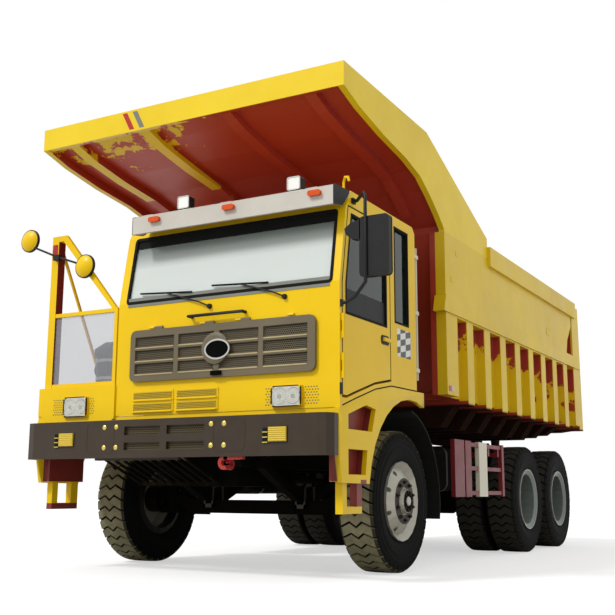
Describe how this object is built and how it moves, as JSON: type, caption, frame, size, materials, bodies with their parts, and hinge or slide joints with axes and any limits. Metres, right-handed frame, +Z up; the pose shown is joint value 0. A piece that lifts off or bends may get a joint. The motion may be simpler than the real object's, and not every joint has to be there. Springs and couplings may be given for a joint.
{
  "type": "mining dump truck",
  "caption": "Offset-cab mining dump truck with a ribbed tipping rock body, spill canopy, tandem drive axles on twin wheels, steered front wheels, side-hung doors and a front hoist.",
  "frame": {"origin": "on the ground under the middle of the truck's box, parked on its wheels", "axes": "+Z up, +Y to the truck's rear, +X to the driver's left"},
  "size_m": [4.44, 8.495, 4.6186],
  "materials": {
    "yellow_enamel": "golden yellow enamel",
    "maroon_enamel": "maroon enamel",
    "chassis_black": "satin black chassis paint",
    "umber_enamel": "dark brown enamel",
    "grille_enamel": "dark olive grey enamel",
    "white_enamel": "white enamel",
    "silver_wheel_enamel": "silver wheel enamel",
    "grey_wheel_enamel": "grey green wheel enamel",
    "tyre_rubber": "black rubber, matt",
    "tinted_glass": "tinted safety glass",
    "bright_steel": "bright steel",
    "cab_trim": "dark grey trim"
  },
  "bodies": {
    "truck": {"air_cleaner": "chassis_black", "bogie_springs": "chassis_black", "cab_rear_rails": "bright_steel", "cab_seats": "cab_trim", "cab_shell": "yellow_enamel", "cab_side_glass": "tinted_glass", "chassis_frame": "chassis_black", "dashboard": "cab_trim", "deck_box": "yellow_enamel", "deck_guard": "yellow_enamel", "drive_axle_middle": "chassis_black", "drive_axle_rear": "chassis_black", "engine_block": "chassis_black", "front_axle": "chassis_black", "front_bumper": "umber_enamel", "fuel_tank": "chassis_black", "hydraulic_tank": "chassis_black", "mirror_left": "chassis_black", "mirrors_right": "chassis_black", "mudguard_left": "chassis_black", "mudguard_right": "chassis_black", "propeller_shaft": "chassis_black", "radiator": "chassis_black", "side_guard": "maroon_enamel", "steering_wheel": "cab_trim", "step_skirt_left": "yellow_enamel", "step_skirt_right": "yellow_enamel", "sun_visor": "white_enamel", "windscreen": "tinted_glass"},
    "door_left": {"door_left": "yellow_enamel", "door_glass_left": "tinted_glass"},
    "door_right": {"door_right": "yellow_enamel", "door_glass_right": "tinted_glass"},
    "grille_flap": {"grille_panel": "grille_enamel"},
    "rock_body": {"dump_body": "yellow_enamel", "body_canopy": "yellow_enamel"},
    "hoist_barrel": {"hoist_barrel": "chassis_black"},
    "hoist_tube_1": {"hoist_tube_1": "bright_steel"},
    "hoist_tube_2": {"hoist_tube_2": "bright_steel"},
    "hoist_tube_3": {"hoist_tube_3": "bright_steel"},
    "knuckle_left": {"knuckle_left": "chassis_black"},
    "knuckle_right": {"knuckle_right": "chassis_black"},
    "wheel_front_left": {"rim_front_left": "silver_wheel_enamel", "tyre_front_left": "tyre_rubber"},
    "wheel_front_right": {"rim_front_right": "silver_wheel_enamel", "tyre_front_right": "tyre_rubber"},
    "wheel_middle_left": {"rim_middle_left": "grey_wheel_enamel", "tyre_middle_left_outer": "tyre_rubber", "tyre_middle_left_inner": "tyre_rubber"},
    "wheel_middle_right": {"rim_middle_right": "grey_wheel_enamel", "tyre_middle_right_outer": "tyre_rubber", "tyre_middle_right_inner": "tyre_rubber"},
    "wheel_rear_left": {"rim_rear_left": "grey_wheel_enamel", "tyre_rear_left_outer": "tyre_rubber", "tyre_rear_left_inner": "tyre_rubber"},
    "wheel_rear_right": {"rim_rear_right": "grey_wheel_enamel", "tyre_rear_right_outer": "tyre_rubber", "tyre_rear_right_inner": "tyre_rubber"}
  },
  "joints": [
    {"name": "steer_left", "type": "hinge", "parent": "truck", "child": "knuckle_left", "pos_m": [1.12, -2.5555, 0.685], "axis": [0, 0, 1], "range_deg": [-30, 30]},
    {"name": "front_left_spin", "type": "hinge", "parent": "knuckle_left", "child": "wheel_front_left", "pos_m": [1.467, -2.5555, 0.685], "axis": [1, 0, 0], "continuous": true},
    {"name": "middle_left_spin", "type": "hinge", "parent": "truck", "child": "wheel_middle_left", "pos_m": [1.36, 1.3605, 0.685], "axis": [1, 0, 0], "continuous": true},
    {"name": "rear_left_spin", "type": "hinge", "parent": "truck", "child": "wheel_rear_left", "pos_m": [1.36, 2.8585, 0.685], "axis": [1, 0, 0], "continuous": true},
    {"name": "steer_right", "type": "hinge", "parent": "truck", "child": "knuckle_right", "pos_m": [-1.12, -2.5555, 0.685], "axis": [0, 0, 1], "range_deg": [-30, 30]},
    {"name": "front_right_spin", "type": "hinge", "parent": "knuckle_right", "child": "wheel_front_right", "pos_m": [-1.467, -2.5555, 0.685], "axis": [1, 0, 0], "continuous": true},
    {"name": "middle_right_spin", "type": "hinge", "parent": "truck", "child": "wheel_middle_right", "pos_m": [-1.36, 1.3605, 0.685], "axis": [1, 0, 0], "continuous": true},
    {"name": "rear_right_spin", "type": "hinge", "parent": "truck", "child": "wheel_rear_right", "pos_m": [-1.36, 2.8585, 0.685], "axis": [1, 0, 0], "continuous": true},
    {"name": "door_left_hinge", "type": "hinge", "parent": "truck", "child": "door_left", "pos_m": [1.763, -4.0255, 2.4], "axis": [0, 0, -1], "range_deg": [0, 70]},
    {"name": "door_right_hinge", "type": "hinge", "parent": "truck", "child": "door_right", "pos_m": [-0.761, -3.5005, 2.4], "axis": [0, 0, 1], "range_deg": [0, 75]},
    {"name": "grille_flap_hinge", "type": "hinge", "parent": "truck", "child": "grille_flap", "pos_m": [0.4835, -4.0755, 2.332], "axis": [-1, 0, 0], "range_deg": [0, 80]},
    {"name": "body_tip", "type": "hinge", "parent": "truck", "child": "rock_body", "pos_m": [0, 3.4445, 1.45], "axis": [-1, 0, 0], "range_deg": [0, 48]},
    {"name": "hoist_swing", "type": "hinge", "parent": "truck", "child": "hoist_barrel", "pos_m": [0, -1.9555, 1.15], "axis": [-1, 0, 0], "range_deg": [0, 28]},
    {"name": "hoist_slide_1", "type": "slide", "parent": "hoist_barrel", "child": "hoist_tube_1", "axis": [0, 0.0465, 0.9989], "range_m": [0, 1.402]},
    {"name": "hoist_slide_2", "type": "slide", "parent": "hoist_tube_1", "child": "hoist_tube_2", "axis": [0, 0.0465, 0.9989], "range_m": [0, 1.402]},
    {"name": "hoist_slide_3", "type": "slide", "parent": "hoist_tube_2", "child": "hoist_tube_3", "axis": [0, 0.0465, 0.9989], "range_m": [0, 1.402]}
  ],
  "couplings": [
    {"joint": "steer_right", "follows": "steer_left", "ratio": 1},
    {"joint": "hoist_swing", "follows": "body_tip", "ratio": 0.58033},
    {"joint": "hoist_slide_1", "follows": "body_tip", "m_per_rad": 1.6731},
    {"joint": "hoist_slide_2", "follows": "body_tip", "m_per_rad": 1.6731},
    {"joint": "hoist_slide_3", "follows": "body_tip", "m_per_rad": 1.6731}
  ]
}
